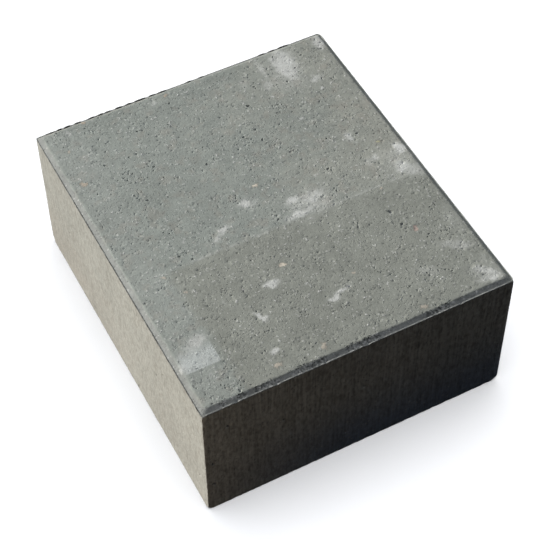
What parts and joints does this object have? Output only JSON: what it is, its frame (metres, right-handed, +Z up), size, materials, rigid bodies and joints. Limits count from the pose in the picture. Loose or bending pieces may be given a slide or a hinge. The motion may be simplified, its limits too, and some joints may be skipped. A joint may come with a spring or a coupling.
{
  "type": "concrete step",
  "caption": "Solid rectangular concrete block step with a bevelled tread, laid in a row along its front edge to make garden stairs.",
  "frame": {"origin": "middle of the underside", "axes": "+X along the front edge to the right, +Y from the front face to the back face, +Z up"},
  "size_m": [0.3, 0.35, 0.15],
  "materials": {
    "concrete": "grey pressed concrete with fine sand grain, small pits and stone grains"
  },
  "bodies": {
    "root": {"concrete_step": "concrete"}
  },
  "joints": []
}
